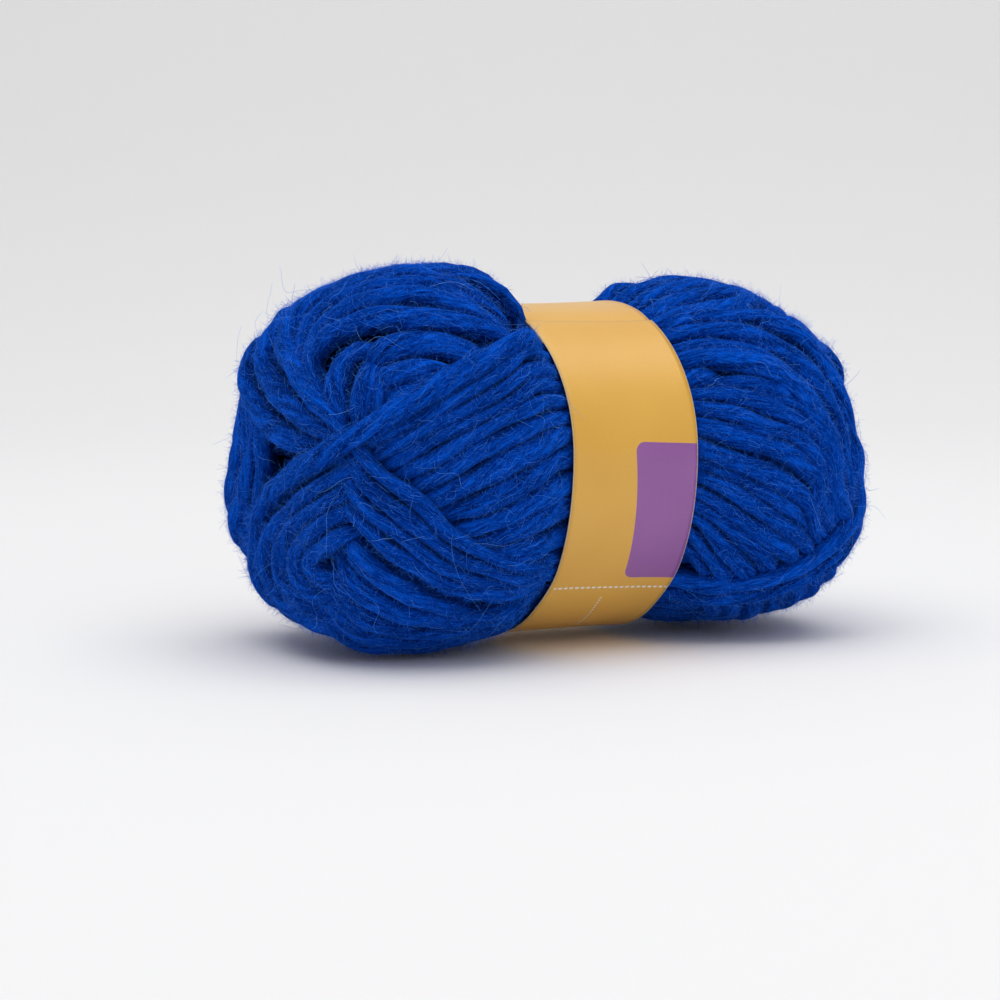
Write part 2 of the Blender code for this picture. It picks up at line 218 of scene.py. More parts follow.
# ---- the turns
# A course is a group of turns that lie side by side: how many, lift, guides and single
# lifts. Each guide is a route over the wool: how far right, front and up its points lie,
# in half millimetres from the waist's middle. The turns are spread evenly from the first
# guide to the last. lift says how many millimetres a turn stands over its own seat on the
# form at each point of the guides: under 0 it runs below its neighbours. The single lifts
# raise single turns all along.
COURSES = {
    # Arches wound round the upper eye of the large lobe, the eye's own turns, and the
    # turns that come down beside it.
    "arches": (4, (-1.6, -0.9, -0.3, 0.2, 0.5, 0.6, 0.6, 0.5, 0.3, 0, -1), (
     (-127,52,98, -129,43,108, -129,33,117, -126,28,129, -118,34,138, -108,42,142,
      -97,49,143, -85,55,143, -72,60,141, -61,66,138, -50,69,131),
     (-129,46,103, -129,35,112, -129,25,122, -124,22,134, -115,26,144, -103,30,150,
      -90,35,152, -78,42,152, -69,52,148, -62,62,142, -52,68,134),
     (-130,32,112, -129,22,122, -126,12,132, -118,10,143, -107,14,151, -95,20,155,
      -83,26,157, -73,36,156, -66,48,151, -61,59,144, -53,67,135),
     (-129,22,120, -128,10,129, -124,-2,137, -113,-3,148, -100,1,155, -87,7,158, -75,17,160,
      -68,30,158, -63,44,154, -57,56,147, -49,64,137)), (0.7, 0.2, -0.1, 0.1)),
    "eye": (3, (-2, -0.7, -0.3, -0.3, -0.4, -0.7, -1.4), (
     (-116,55,125, -108,55,132, -99,58,135, -89,62,136, -80,66,133, -72,71,128,
      -64,75,122),
     (-116,61,117, -110,63,122, -102,66,124, -94,69,124, -86,72,122, -79,75,118,
      -72,78,113),
     (-115,65,110, -110,67,113, -105,69,115, -99,72,116, -92,74,115, -87,76,113,
      -81,78,110)), (0.1, -0.2, -0.6)),
    "legs": (3, (-1, -0.7, -0.5, -0.7, -1.1, -2), (
     (-128,51,96, -127,50,106, -126,46,116, -123,44,125, -117,47,132, -108,51,136),
     (-123,61,98, -121,60,106, -119,59,114, -117,57,121, -113,56,128, -106,57,132),
     (-117,66,102, -115,66,108, -113,65,114, -112,63,119, -110,60,125, -106,59,129)),
     (0.2, -0.3, -0.7)),
    "crown": (5, (-1.8, -1.4, -1.2, -0.9, -0.3, -0.1, -0.4, 5.6), (
     (-130,8,124, -124,4,140, -112,0,150, -96,-4,158, -80,-2,162, -62,10,158, -44,24,148,
      -24,34,138),
     (-132,-20,112, -128,-30,132, -116,-38,142, -96,-42,148, -76,-42,150, -58,-34,148, -40,-24,146,
      -22,-12,146))),
    "end_wraps": (3, (-1.2, -0.8, -0.2, 0.8, 1.2, 1.2, 1.1, 0.8, 0, -1.4), (
     (-104,-60,132, -118,-50,131, -127,-36,126, -128,-36,116, -131,-22,107, -132,-7,99, -132,10,94,
      -132,27,91, -130,44,89, -125,60,85),
     (-100,-46,142, -112,-34,141, -122,-21,135, -128,-19,127, -129,-17,122, -131,-2,114,
      -132,14,107, -131,31,101, -129,47,96, -123,62,89),
     (-100,-32,152, -111,-22,148, -119,-10,144, -125,-1,137, -127,1,130, -129,15,124, -130,28,116,
      -129,41,108, -127,53,99, -122,64,89)), (0.2, 0, -0.1)),
    # The one turn that crosses over all the others.
    "crossing": (1, (-0.6, 0.2, 1.1, 1.8, 2.1, 2.1, 2, 1.7, 1.2, 0.9, 0.5, 0, -1), (
     (-14,35,136, -32,48,133, -47,66,133, -68,73,127, -89,74,117, -109,71,105, -125,58,94,
      -131,38,84, -132,16,76, -132,-5,66, -134,-19,51, -126,-28,31, -110,-30,14),)),
    "nested_under": (4, (-1.8, 0.3, 0.6, 0.5, 0.3, 0.2, 0, -0.4, -1.5), (
     (-120,64,88, -130,50,78, -134,28,68, -136,4,56, -134,-14,40, -130,-12,26, -126,4,18,
      -118,24,12, -102,30,6),
     (-122,62,58, -128,54,56, -130,44,50, -132,34,46, -132,30,42, -132,32,38, -128,40,36,
      -124,48,36, -120,54,34))),
    # Turns that fall towards the band, over the rising ones.
    "falling": (4, (-1.4, 1.2, 1.7, 1.7, 1.6, 1.3, 1, 0.3, -0.4), (
     (-126,56,100, -118,66,86, -108,74,76, -96,78,68, -88,78,58, -78,78,52, -66,78,46,
      -50,74,40, -24,64,36),
     (-128,56,70, -120,64,62, -114,68,56, -106,70,50, -100,72,46, -92,72,40, -80,72,34,
      -62,70,30, -24,62,26))),
    "foot": (5, (-1.4, -0.1, 0.1, 0.1, 0, -0.3, -0.9, -0.9), (
     (-126,54,54, -118,62,46, -110,64,38, -100,66,32, -90,66,26, -80,64,22, -66,62,18,
      -28,54,18),
     (-128,32,28, -122,30,16, -112,28,8, -100,28,4, -86,30,2, -70,34,4, -52,38,8,
      -24,42,12))),
    "far_end": (2, (-1.8, -1.2, -1, -1, -1.2, -1.8), (
     (-124,-44,40, -132,-40,57, -134,-36,76, -134,-34,96, -131,-32,115, -122,-30,132),
     (-128,-30,32, -134,-26,50, -136,-24,70, -136,-24,89, -132,-22,108, -124,-20,126)), (0, -0.5)),
    "rising": (10, (-2.2, -0.5, 0.1, 0.3, 0.2, 0), (
     (-123,62,89, -105,74,102, -82,77,113, -59,75,123, -40,58,125, -18,46,130),
     (-121,65,85, -103,76,97, -81,79,106, -60,78,116, -39,68,122, -19,53,124),
     (-117,69,82, -99,78,93, -78,80,102, -57,80,111, -39,68,114, -19,60,118),
     (-112,73,78, -95,79,87, -76,81,97, -57,82,105, -39,72,108, -20,65,111),
     (-107,76,73, -90,81,82, -73,82,91, -55,83,98, -38,75,101, -20,69,104),
     (-102,77,67, -85,81,74, -69,83,82, -53,83,89, -37,76,93, -21,71,97),
     (-96,79,62, -81,82,67, -65,83,72, -50,83,79, -35,76,83, -20,73,89),
     (-89,79,55, -75,81,59, -61,83,63, -47,81,69, -35,75,72, -21,73,77),
     (-82,79,49, -69,81,52, -57,82,57, -44,79,61, -33,73,62, -20,71,66),
     (-76,78,44, -64,79,46, -51,78,48, -40,73,49, -30,65,49, -18,67,53)),
     (-0.2, 0.1, -0.1, 0.2, -0.1, 0.3, 0, 0.2, -0.1, -0.3)),
    # The small lobe: turns fanned from the band to the end, and the wrap at their foot.
    "fanned": (17, (-0.2, 0.1, 0.3, 0.4, 0.4, 0.2, -0.1, -0.6, -1.3, -2, -2.6), (
     (27,28,138, 45,41,140, 66,49,140, 88,50,135, 102,58,120, 111,63,99, 115,63,77,
      115,63,56, 124,43,58, 130,23,53, 126,16,32),
     (23,40,133, 41,47,135, 60,57,134, 79,62,126, 94,67,111, 104,69,93, 110,68,72,
      111,63,57, 122,44,57, 128,26,51, 124,19,31),
     (22,50,127, 41,54,129, 59,62,128, 76,68,119, 90,71,105, 99,72,87, 104,72,68, 109,63,57,
      119,46,56, 126,30,49, 123,22,30),
     (21,56,122, 40,59,124, 58,67,121, 75,71,113, 88,73,98, 97,73,80, 99,73,61, 106,63,53,
      117,47,51, 125,30,45, 121,22,28),
     (21,62,115, 24,62,115, 26,62,116, 28,61,116, 31,61,116, 33,62,117, 36,63,117,
      38,63,118, 40,64,118, 43,65,118, 45,66,118),
     (35,65,113, 52,70,114, 69,73,109, 84,74,99, 95,74,84, 98,73,66, 98,70,52, 109,56,49,
      120,41,45, 125,27,37, 118,17,23),
     (24,66,110, 42,70,109, 61,75,104, 79,76,95, 93,75,82, 96,74,63, 95,70,50, 108,55,45,
      119,40,40, 124,24,31, 116,12,18),
     (24,68,105, 42,73,102, 59,77,95, 77,77,88, 91,75,75, 90,76,57, 94,67,47, 105,53,40,
      116,38,34, 122,23,25, 113,10,14),
     (23,71,98, 41,74,93, 58,78,87, 76,78,80, 90,76,68, 85,78,53, 94,64,43, 104,50,35,
      113,36,28, 120,21,19, 110,9,10),
     (23,73,89, 39,75,83, 55,78,76, 72,79,69, 86,76,59, 85,75,47, 93,62,38, 102,49,30,
      110,35,22, 116,21,13, 105,10,7),
     (23,73,82, 38,75,77, 52,78,70, 66,78,62, 80,77,54, 86,72,43, 93,60,34, 100,48,26,
      107,36,17, 109,23,9, 98,13,4),
     (23,73,77, 37,74,71, 50,77,64, 63,78,56, 76,76,48, 86,72,39, 92,61,30, 98,50,21,
      102,39,13, 103,26,5, 92,16,2),
     (23,72,71, 36,72,64, 47,75,57, 59,75,49, 71,74,41, 80,70,34, 85,60,26, 90,49,18,
      93,38,10, 93,26,3, 82,18,1),
     (23,71,66, 34,71,60, 44,72,52, 54,73,44, 63,71,36, 71,67,28, 76,58,21, 80,48,15,
      84,37,8, 83,26,2, 73,19,0),
     (24,70,61, 33,68,55, 40,69,46, 48,68,39, 57,68,31, 62,61,24, 67,53,18, 71,45,12,
      74,36,6, 73,26,1, 64,20,0),
     (23,68,54, 30,65,49, 37,65,41, 44,64,34, 50,63,28, 54,56,22, 58,49,16, 62,42,11,
      65,34,5, 64,26,2, 56,20,1),
     (23,65,47, 29,62,43, 35,61,37, 41,60,31, 45,57,25, 48,52,20, 51,46,15, 54,40,10,
      56,33,5, 54,26,2, 48,20,2)),
     (0.1, 0, -0.7, 0.7, -0.4, -0.6, 0.1, 0.2, 0.1, 0.3, -0.9, 0.3, 0, -0.2, 0.1, -0.1, -0.4)),
    "foot_wrap": (2, (-0.4, 1, 1.7, 2, 2, 1.8, 1.3, 0.5, -0.4, -0.9, -1.4), (
     (11,56,34, 29,52,28, 47,59,26, 65,67,29, 83,70,35, 100,69,45, 115,62,54, 123,52,68,
      130,42,84, 126,36,101, 118,30,118),
     (11,50,26, 29,45,22, 47,53,20, 64,62,22, 82,66,28, 100,66,35, 114,59,45, 124,47,55,
      133,35,68, 132,28,86, 130,22,104)), (0.3, 0.1)),
    "sole": (5, (-0.6, -0.8, -1.4, -1.9, -2.3, -2.6, -2.6, -2.6), (
     (18,38,12, 38,38,8, 50,40,8, 64,46,10, 80,50,14, 98,52,20, 122,36,32, 130,12,44),
     (16,-16,6, 36,-16,4, 54,-14,2, 72,-12,2, 90,-10,2, 108,-8,8, 122,-8,22, 130,-8,40))),
    "over_top": (5, (-0.1, 0.5, 0.3, 0, -0.2, -0.6, -0.9, -1.8), (
     (16,36,140, 32,38,142, 44,42,144, 60,42,146, 80,32,148, 104,10,144, 120,-4,132,
      126,-16,116),
     (0,2,144, 22,-8,148, 40,-18,152, 60,-28,152, 80,-38,148, 98,-48,138, 112,-54,124,
      122,-56,108))),
}
# Each lobe's hidden side is wound as the other lobe's near side, half a turn about Z.
NEAR = tuple(COURSES)
FAR = tuple(name for name in COURSES if name not in ("crown", "over_top"))


# How uneven a turn is: by how much, and its shortest and longest wave. Widths, heights
# and girths vary by shares.
UNEVEN_ASIDE = (0.30, 14.0, 46.0)
UNEVEN_LIFT = (0.28, 11.0, 38.0)
UNEVEN_WIDTH = (0.09, 15.0, 55.0)
UNEVEN_HEIGHT = (0.08, 13.0, 45.0)
UNEVEN_GIRTH = (0.07, 9.0, 34.0)
UNEVEN_TONE = (0.5, 12.0, 50.0)
TONE_SPREAD = 0.45  # between one turn and another
SIDE_SHADE = 5.0  # how much painted shade darkens a turn down its sides
HALF_WIDTHS = (1.6, 3.0)  # least and most
SMOOTHINGS = 10  # passes that ease a turn's bends
RIDGES = ((2, 37.0), (3, -23.0), (5, 17.0))  # round a turn, and the length they wind in
RIDGE_HIGH, RIDGE_BEAT = 0.11, 7.0  # they come and go along it
END_SHARE, END_LONG, END_TIP = 0.45, 4.0, 0.8  # how a turn's end closes
PATTERN_GIRTH = math.tau * 2.3  # of the pattern round a turn
PATTERN_DRIFT = 0.24  # how far it drifts round for each millimetre along
PATTERN_ROOM = 900.0  # each turn starts somewhere else in this length of it
UNDER_PAPER = -0.15  # lift of the turns that the paper presses down
UNDER_FREE, FREE_FROM = 6.0, 1.6  # so far out from its edge the lift may be this high
SWELL = 0.8  # bulge of the turns close beside the paper's upper edges,
SWELL_FAR, FAR_FROM = 1.7, 8.0  # and the share more on the small lobe's far side
SWELL_START, SWELL_END = (0.2, 2.0), (5.0, 15.0)  # out from the paper's edge


def side_by_side(count, guides):
    """Routes of a course's turns: its guides mixed evenly, row by row."""
    guides = np.asarray(guides, float).reshape(len(guides), -1, 3) * (0.5, -0.5, 0.5)
    if len(guides) == 1:
        return guides
    at = np.linspace(0.0, len(guides) - 1.0, count)
    low = np.minimum(at.astype(int), len(guides) - 2)
    return mix(guides[low], guides[low + 1], (at - low)[:, None, None])


def half_widths(routes):
    """Half the room between each turn and its neighbours, square to its own way."""
    if len(routes) == 1:
        return np.full(routes.shape[:2], TURN_WIDE)
    way = unit(np.gradient(routes, axis=1))
    room = np.diff(routes, axis=0)
    room = room - np.sum(room * way[:-1], axis=2, keepdims=True) * way[:-1]
    room = np.linalg.norm(room, axis=2)
    both = (np.vstack((room[:1], room)) + np.vstack((room, room[-1:]))) / 2.0
    return np.clip(0.5 * both, *HALF_WIDTHS)


def band_aside(angle):
    """How far the paper's middle lies aside of the waist's, at an angle about X from +Y:
    a little to the left all round, and further under the skein's front."""
    angle = angle % math.tau
    low = smooth(angle, *BAND_LOW_FROM) * (1.0 - smooth(angle, *BAND_LOW_TO))
    return BAND_ASIDE + BAND_ASIDE_LOW * low


def beside_band(seat):
    """How far a seat lies out from the paper's edge, under 0 beneath the paper."""
    angle = np.arctan2(seat[:, 2] - WAIST_AXIS, seat[:, 1])
    return np.abs(seat[:, 0] - band_aside(angle)) - BAND_HALF


def end_hollow(seat):
    """Depth of the hollow round the middle of each end, a bell of HOLLOW_WIDE."""
    from_middle = np.hypot(seat[:, 1] + HOLLOW_ASIDE * np.sign(seat[:, 0]),
                           HOLLOW_SQUAT * (seat[:, 2] - HOLLOW_HEIGHT))
    bell = HOLLOW_DEEP * np.exp(-(from_middle / HOLLOW_WIDE) ** 2)
    return bell * (np.abs(seat[:, 0]) > HOLLOW_FROM)


class Turns:
    """Collects the rings of many turns, as arrays, until they are made one piece."""

    def __init__(self):
        self.points, self.quads, self.caps = [], [], []
        self.uv_quads, self.uv_caps, self.tones_and_shade = [], [], []
        self.ways, self.outs, self.count = [], [], 0

    def add(self, middle, out, wide, high, sides, seed):
        """One turn along middle: each ring is a rounded oblong, wide across the form and
        high square to it, its rim raised by ridges that wind slowly round the turn."""
        draw = np.random.default_rng(seed)
        rings = len(middle)
        way = unit(np.gradient(middle, axis=0))
        out = unit(out - np.sum(out * way, axis=1, keepdims=True) * way)
        across = np.cross(out, way)
        run = run_along(middle)
        angle = -math.pi / 2.0 + np.arange(sides) * (math.tau / sides)
        c, s = np.cos(angle), np.sin(angle)
        grow = 1.0 + wave(run, seed + 1, *UNEVEN_GIRTH)[:, None]
        for ridges, pitch in RIDGES:
            phase = draw.uniform(0.0, math.tau)
            turn = math.tau * run[:, None] / pitch + ridges * angle[None, :] + phase
            beat = 0.6 + 0.4 * np.sin(run[:, None] / RIDGE_BEAT + phase)
            grow = grow + RIDGE_HIGH / TURN_WIDE * np.sin(turn) * beat
        ends = np.minimum(run, run[-1] - run)
        grow = grow * mix(END_SHARE, 1.0, smooth(ends, -0.5, END_LONG))[:, None]
        rim = (middle[:, None, :] + (wide[:, None] * c * grow)[:, :, None] * across[:, None, :]
               + (high[:, None] * s * grow)[:, :, None] * out[:, None, :])
        tips = np.stack((middle[0] - way[0] * END_TIP, middle[-1] + way[-1] * END_TIP))
        points = np.concatenate((rim.reshape(-1, 3), tips))
        points[:, 2] = np.maximum(points[:, 2], FLOOR_GAP)
        quads, caps = tube_faces(rings, sides, self.count)
        # The fibres run a little askew, so the pattern's v drifts along the turn.
        u = run + draw.uniform(0.0, PATTERN_ROOM)
        v = np.arange(sides + 1) / sides * PATTERN_GIRTH
        v = v[None, :] + PATTERN_DRIFT * run[:, None] + draw.uniform(0.0, PATTERN_ROOM)
        grid = np.stack((np.broadcast_to(u[:, None], v.shape), v), axis=2)
        self.uv_quads.append(np.stack((grid[:-1, :-1], grid[:-1, 1:], grid[1:, 1:], grid[1:, :-1]),
                                      axis=2).reshape(-1, 4, 2))
        first, last = grid[0], grid[-1]
        head = (first[:-1] + first[1:]) / 2.0 - (1.0, 0.0)
        foot = (last[:-1] + last[1:]) / 2.0 + (1.0, 0.0)
        self.uv_caps.append(np.concatenate((np.stack((head, first[1:], first[:-1]), axis=1),
                                            np.stack((foot, last[:-1], last[1:]), axis=1))))
        # Painted shade: darker down its sides, where the fibre lies sunk between two turns and
        # shade falls in the crease.
        tone = draw.normal(0.0, TONE_SPREAD) + wave(run, seed + 2, *UNEVEN_TONE)
        crease_shade = SIDE_SHADE * (1.0 - smooth(s, 0.0, 0.75))
        outward = unit(rim - middle[:, None, :]).reshape(-1, 3)
        self.points.append(points)
        self.quads.append(quads)
        self.caps.append(caps)
        self.tones_and_shade.append(np.concatenate(((tone[:, None] - crease_shade[None, :]).ravel(), tone[[0, -1]])))
        self.ways.append(np.concatenate((np.repeat(way, sides, axis=0), way[[0, -1]])))
        self.outs.append(np.concatenate((outward, out[[0, -1]])))
        self.count += len(points)

    def piece(self, name, finish):
        return add_mesh(name, np.concatenate(self.points),
                        (np.concatenate(self.quads), np.concatenate(self.caps)), finish,
                        uv=(np.concatenate(self.uv_quads), np.concatenate(self.uv_caps)),
                        tone=np.concatenate(self.tones_and_shade))


def lay_course(turns, name, turn_round, seed):
    """Lays one course on the form: each route is smoothed, carried onto the form and
    let in by a turn's height, less its lift."""
    count, lift, guides, *single = COURSES[name]
    single = single[0] if single else np.zeros(count)
    routes = side_by_side(count, guides)
    if turn_round:
        routes = routes * (-1.0, -1.0, 1.0)
    widths = half_widths(routes)
    for k, route in enumerate(routes):
        own = seed + 37 * k
        table = np.column_stack((route, np.asarray(lift) + single[k], widths[k]))
        line = spline(table, RING_STEP)
        for _ in range(SMOOTHINGS):
            line[1:-1] = (line[:-2] + 2.0 * line[1:-1] + line[2:]) / 4.0
        run = np.arange(len(line)) * RING_STEP
        way = unit(np.gradient(line[:, :3], axis=0))
        seat = on_form(line[:, :3])
        out = form_normal(seat)
        aside = wave(run, own + 3, *UNEVEN_ASIDE)[:, None] * np.cross(out, way)
        rise = line[:, 3] + wave(run, own + 4, *UNEVEN_LIFT)
        # Turns keep below the paper, and bulge close beside its upper edges.
        beside = beside_band(seat)
        fuller = 1.0 + SWELL_FAR * smooth(seat[:, 1], 0.0, FAR_FROM) * (seat[:, 0] > 0.0)
        bulge = SWELL * fuller * np.clip(out[:, 2], 0.0, 1.0)
        rise += bulge * smooth(beside, *SWELL_START) * (1.0 - smooth(beside, *SWELL_END))
        rise = np.minimum(rise, mix(UNDER_PAPER, UNDER_FREE, smooth(beside, 0.0, FREE_FROM)))
        wide = line[:, 4] * (1.0 + wave(run, own + 5, *UNEVEN_WIDTH))
        high = TURN_HIGH * (1.0 + wave(run, own + 6, *UNEVEN_HEIGHT))
        middle = seat + aside + out * (rise - TURN_HIGH)[:, None]
        turns.add(middle, out, wide, high, TURN_SIDES, own)


# The loops under the courses, which show only deep between them.
UNDER_LEAN, UNDER_ROLL = math.radians(33.0), math.radians(12.0)
UNDER_REACH, UNDER_STEP = 57.0, 4.9  # from the middle, and between two loops
UNDER_WIDE, UNDER_HIGH, UNDER_DEPTH = 2.7, 2.1, 2.9  # half sizes, depth below a turn
UNDER_SIDES, UNDER_RINGS = 8, 120
UNDER_SMALL = -0.12  # outside() at the middle of a cut too small for a loop


def lay_underwrap(turns, seed):
    """Full loops of coarser turns under the courses: the form is cut by even planes that
    lean along the skein, and each cut is let in."""
    square = np.array((-math.sin(UNDER_LEAN), -math.cos(UNDER_LEAN) * math.sin(UNDER_ROLL),
                       math.cos(UNDER_LEAN) * math.cos(UNDER_ROLL)))
    first = unit(np.cross(square, (0.0, 1.0, 0.0)))
    second = np.cross(square, first)
    angle = np.linspace(0.0, math.tau, UNDER_RINGS)
    spokes = np.cos(angle)[:, None] * first + np.sin(angle)[:, None] * second
    for k, offset in enumerate(np.arange(-UNDER_REACH, UNDER_REACH + 0.1, UNDER_STEP)):
        hub = MIDDLE + square * offset
        if outside(hub[None, :])[0] > UNDER_SMALL:
            continue
        seat = hub + spokes * form_radius(spokes, hub, 0.0)[:, None]
        out = form_normal(seat)
        middle = seat - out * (TURN_HIGH + UNDER_DEPTH + end_hollow(seat))[:, None]
        turns.add(middle, out, np.full(UNDER_RINGS, UNDER_WIDE), np.full(UNDER_RINGS, UNDER_HIGH),
                  UNDER_SIDES, seed + k)


def make_core(finish):
    """The dark core that fills the skein: the form let in all over, more at the ends."""
    polar = np.linspace(0.0, math.pi, CORE_RINGS + 2)[1:-1]
    around = np.arange(CORE_SEGMENTS) * (math.tau / CORE_SEGMENTS)
    p, a = np.meshgrid(polar, around, indexing="ij")
    sphere = np.stack((np.cos(p), np.sin(p) * np.cos(a), np.sin(p) * np.sin(a)), axis=2)
    directions = np.concatenate((sphere.reshape(-1, 3), ((1.0, 0.0, 0.0), (-1.0, 0.0, 0.0))))
    seat = MIDDLE + directions * form_radius(directions)[:, None]
    points = seat - form_normal(seat) * (CORE_DEPTH + end_hollow(seat))[:, None]
    points[:, 2] = np.maximum(points[:, 2], CORE_FLOOR)
    return add_mesh("wool_core", points, tube_faces(CORE_RINGS, CORE_SEGMENTS, 0), finish)


# ---- loose fibres
SHOW_CELL = 1.5  # degrees across a narrow cell of directions
SHOW_DEPTH = 0.75  # below a cell's farthest point, the wool still shows

# A loose fibre's shape: spreads of its bend to one side and of its waves, radians of wave
# along it, depth of its root, and twice the radius of the skein that it follows.
BEND, CURL, WAVES, SUNK, SKEIN_ROUND = 0.30, 0.075, (4.0, 9.0), 0.12, 80.0
THICKNESSES, TAPER = (0.7, 1.3), 0.55  # shares: least and most, and lost at both ends
FIBRE_FLOOR = 0.05
STANDS_LONG, STANDS_HIGH, STANDS_MORE = 0.6, 2.4, 0.3  # against one that comes down


def bare_points(points):
    """Which points lie outermost along their line from the middle, so that they show:
    within SHOW_DEPTH of the farthest in their own cell of directions."""
    away = points - MIDDLE
    far = np.linalg.norm(away, axis=1)
    turn = np.degrees(np.arctan2(away[:, 1], away[:, 2]))
    tilt = np.degrees(np.arcsin(np.clip(away[:, 0] / far, -1.0, 1.0)))
    rows = np.floor((tilt + 90.0) / SHOW_CELL).astype(int)
    middles = np.radians((rows + 0.5) * SHOW_CELL - 90.0)
    cells = np.maximum(np.round(360.0 / SHOW_CELL * np.cos(middles)), 1.0)
    # A hair under a full round, so that its end stays in the last cell.
    column = np.floor((turn + 180.0) / 360.0 * cells * 0.9999).astype(int)
    key = rows * int(360.0 / SHOW_CELL + 1.0) + column
    top = np.zeros(key.max() + 1)
    np.maximum.at(top, key, far)
    return far > top[key] - SHOW_DEPTH


def make_fibres(seats, seed, name, finish, count, length, rise, askew, stand, segments, thick):
    """Loose fibres: thin three-sided tubes. Each starts in the wool and runs askew to its
    turn, bends to one side and waves, follows the skein's own curve and lifts off it, and
    either comes down again or, for the share called stand, ends in the air."""
    draw = np.random.default_rng(seed)
    pick = draw.integers(0, len(seats[0]), count)
    root, way, out = (part[pick] for part in seats)
    side = np.cross(out, way)
    angle = draw.normal(0.0, askew, count) + math.pi * draw.integers(0, 2, count)
    ahead = np.cos(angle)[:, None] * way + np.sin(angle)[:, None] * side
    beside = np.cross(out, ahead)
    u = np.linspace(0.0, 1.0, segments + 1)
    long = mix(length[0], length[1], draw.uniform(0.0, 1.0, count) ** 1.6)
    high = mix(rise[0], rise[1], draw.uniform(0.0, 1.0, count) ** 2)
    standing = draw.uniform(0.0, 1.0, count) < stand
    long = np.where(standing, long * STANDS_LONG, long)
    high = np.where(standing, high * STANDS_HIGH + STANDS_MORE, high)
    bend = draw.normal(0.0, BEND, (count, 1))
    curl, beat = draw.normal(0.0, CURL, (count, 1)), draw.uniform(0.0, 6.28, (count, 1))
    waves = draw.uniform(*WAVES, (count, 1))
    sweep = long[:, None] * (u - 0.25 * np.abs(bend) * u ** 3)
    sway = long[:, None] * (bend * u ** 2 + curl * (np.sin(waves * u + beat) - np.sin(beat)))
    lift = high[:, None] * np.where(standing[:, None], u ** 1.4, np.sin(math.pi * u))
    lift = lift * (1.0 + 0.35 * np.sin(waves * u * 1.3 + 2.0 * beat))
    lift = lift - SUNK - np.where(standing[:, None], 0.3, 1.0) * sweep ** 2 / SKEIN_ROUND
    line = (root[:, None, :] + sweep[:, :, None] * ahead[:, None, :]
            + sway[:, :, None] * beside[:, None, :] + lift[:, :, None] * out[:, None, :])
    run = unit(np.gradient(line, axis=1))
    up = unit(out[:, None, :] - np.sum(out[:, None, :] * run, axis=2, keepdims=True) * run)
    across = np.cross(up, run)
    girth = thick * draw.uniform(*THICKNESSES, (count, 1)) * (1.0 - TAPER * (2.0 * u - 1.0) ** 4)
    turn = np.arange(3) * (math.tau / 3.0)
    rim = (line[:, :, None, :]
           + girth[:, :, None, None] * (np.cos(turn)[None, None, :, None] * across[:, :, None, :]
                                        + np.sin(turn)[None, None, :, None] * up[:, :, None, :]))
    points = rim.reshape(-1, 3)
    points[:, 2] = np.maximum(points[:, 2], FIBRE_FLOOR)
    per = (segments + 1) * 3
    ring, corner = np.meshgrid(np.arange(segments), np.arange(3), indexing="ij")
    a = ring * 3 + corner
    b = ring * 3 + (corner + 1) % 3
    quads = np.stack((a, b, b + 3, a + 3), axis=-1).reshape(-1, 4)
    caps = np.array(((0, 2, 1), (per - 3, per - 2, per - 1)))
    first = (np.arange(count) * per)[:, None, None]
    tone = np.repeat(draw.normal(0.0, 1.0, count), per)
    return add_mesh(name, points, ((first + quads).reshape(-1, 4), (first + caps).reshape(-1, 3)),
                    finish, tone=tone)


# ---- the paper band
LAP_AT = 70.2  # where its outer end lies on the ring, from +Y over the top
LAP_LONG = 9.0
LAP_SLIDE = 6.0  # length in which the inner end slides under the outer one
LAP_GAP = 0.06
ASKEW = 0.065  # the paper's ends and print lie askew to its edges
BUCKLE, FLARE = 0.10, 0.22  # how far the paper buckles, and its edges flare
EDGE_WAVE = 0.12
STRIP_ROWS, STRIP_COLUMNS = 300, 24


def waist_radius(angle):
    """Radius of the waist's cross-section at an angle about X: half a superellipse above
    its axis and a taller half below."""
    tall = np.where(np.sin(angle) > 0.0, WAIST_RISE, WAIST_DROP)
    across = np.abs(np.cos(angle) / WAIST_DEPTH) ** ROUND_WAIST
    along = np.abs(np.sin(angle) / tall) ** ROUND_WAIST
    return (across + along) ** (-1.0 / ROUND_WAIST)


def band_ring():
    """Lengths along the paper's outer face from +Y over the top, against angles about X."""
    table = np.linspace(0.0, math.tau, 4001)
    radius = waist_radius(table) + BAND_OFF
    return run_along(np.stack((radius * np.cos(table), radius * np.sin(table)), axis=1)), table


BAND_GIRTH = band_ring()[0][-1]
SHEET_LONG = BAND_GIRTH + LAP_LONG


